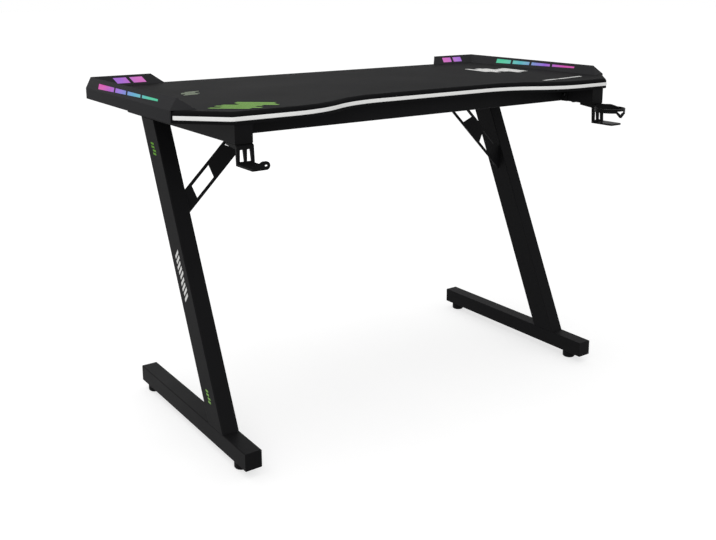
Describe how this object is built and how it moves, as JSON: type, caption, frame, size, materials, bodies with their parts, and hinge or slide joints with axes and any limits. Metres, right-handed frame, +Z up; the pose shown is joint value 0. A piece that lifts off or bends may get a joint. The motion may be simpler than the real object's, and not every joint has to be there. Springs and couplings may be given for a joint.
{
  "type": "gaming desk",
  "caption": "Gaming desk on slanted steel legs, with a wavy front edge and white strip, lit rear corner housings, a cup holder and a headset hook.",
  "frame": {"origin": "floor level, midway along the width and midway between the rear edge and the cup ring's front", "axes": "+X to the right of a person sitting at the desk, +Y away from that person, +Z up"},
  "size_m": [1.2, 0.6434, 0.766],
  "materials": {
    "board_film": "fibreboard under a fine matte black film",
    "white_strip": "extruded white PVC, satin",
    "housing_abs": "moulded black ABS, fine spark texture",
    "lit_window": "translucent acrylic, lit from behind",
    "led_tape": "white solder mask",
    "led_lens": "clear resin over yellow phosphor",
    "frame_steel": "black powder coat, fine orange peel",
    "black_bolt": "black zinc",
    "zinc_steel": "bright zinc plate",
    "insert_brass": "turned brass",
    "cap_plastic": "moulded black polypropylene",
    "pad_plastic": "moulded black polyethylene",
    "bracket_abs": "moulded black ABS, satin",
    "button_abs": "moulded black ABS, polished",
    "circuit_board": "green solder mask",
    "lead_pvc": "black PVC sheath"
  },
  "bodies": {
    "frame": {"accessory_screws": "black_bolt", "beam_bolts": "black_bolt", "beam_nuts": "zinc_steel", "brace_bolts": "black_bolt", "brace_nuts": "zinc_steel", "control_board": "circuit_board", "control_box": "housing_abs", "control_screws": "black_bolt", "cup_holder": "bracket_abs", "edge_strip": "white_strip", "front_beam": "frame_steel", "headset_hook": "bracket_abs", "housing_screws": "black_bolt", "lead_clips": "cap_plastic", "left_brace": "frame_steel", "left_foot_bar": "frame_steel", "left_foot_front_cap": "cap_plastic", "left_foot_rear_cap": "cap_plastic", "left_inner_diffuser": "lit_window", "left_led_lead": "lead_pvc", "left_led_strip": "led_tape", "left_leds": "led_lens", "left_leg": "frame_steel", "left_light_housing": "housing_abs", "left_outer_diffuser": "lit_window", "left_rear_diffuser": "lit_window", "left_top_bar": "frame_steel", "left_top_front_cap": "cap_plastic", "left_top_rear_cap": "cap_plastic", "levelling_inserts": "zinc_steel", "power_inlet": "zinc_steel", "rear_beam": "frame_steel", "right_brace": "frame_steel", "right_foot_bar": "frame_steel", "right_foot_front_cap": "cap_plastic", "right_foot_rear_cap": "cap_plastic", "right_inner_diffuser": "lit_window", "right_led_lead": "lead_pvc", "right_led_strip": "led_tape", "right_leds": "led_lens", "right_leg": "frame_steel", "right_light_housing": "housing_abs", "right_outer_diffuser": "lit_window", "right_rear_diffuser": "lit_window", "right_top_bar": "frame_steel", "right_top_front_cap": "cap_plastic", "right_top_rear_cap": "cap_plastic", "tabletop_board": "board_film", "tabletop_inserts": "insert_brass", "tabletop_screws": "black_bolt"},
    "left_front_stud": {"left_front_foot_stud": "zinc_steel"},
    "left_front_pad": {"left_front_foot_pad": "pad_plastic"},
    "left_rear_stud": {"left_rear_foot_stud": "zinc_steel"},
    "left_rear_pad": {"left_rear_foot_pad": "pad_plastic"},
    "right_front_stud": {"right_front_foot_stud": "zinc_steel"},
    "right_front_pad": {"right_front_foot_pad": "pad_plastic"},
    "right_rear_stud": {"right_rear_foot_stud": "zinc_steel"},
    "right_rear_pad": {"right_rear_foot_pad": "pad_plastic"},
    "mode_button": {"mode_button": "button_abs"}
  },
  "joints": [
    {"name": "left_front_foot_height", "type": "slide", "parent": "frame", "child": "left_front_stud", "axis": [0, 0, -1], "range_m": [0, 0.01]},
    {"name": "left_front_pad_turn", "type": "hinge", "parent": "left_front_stud", "child": "left_front_pad", "pos_m": [-0.49, -0.19325, 0.006], "axis": [0, 0, 1], "continuous": true},
    {"name": "left_rear_foot_height", "type": "slide", "parent": "frame", "child": "left_rear_stud", "axis": [0, 0, -1], "range_m": [0, 0.01]},
    {"name": "left_rear_pad_turn", "type": "hinge", "parent": "left_rear_stud", "child": "left_rear_pad", "pos_m": [-0.49, 0.25675, 0.006], "axis": [0, 0, 1], "continuous": true},
    {"name": "right_front_foot_height", "type": "slide", "parent": "frame", "child": "right_front_stud", "axis": [0, 0, -1], "range_m": [0, 0.01]},
    {"name": "right_front_pad_turn", "type": "hinge", "parent": "right_front_stud", "child": "right_front_pad", "pos_m": [0.49, -0.19325, 0.006], "axis": [0, 0, 1], "continuous": true},
    {"name": "right_rear_foot_height", "type": "slide", "parent": "frame", "child": "right_rear_stud", "axis": [0, 0, -1], "range_m": [0, 0.01]},
    {"name": "right_rear_pad_turn", "type": "hinge", "parent": "right_rear_stud", "child": "right_rear_pad", "pos_m": [0.49, 0.25675, 0.006], "axis": [0, 0, 1], "continuous": true},
    {"name": "mode_button_press", "type": "slide", "parent": "frame", "child": "mode_button", "axis": [0, 0, 1], "range_m": [0, 0.0012], "stiffness_N_per_m": 1500, "springref_m": -0.0006}
  ]
}
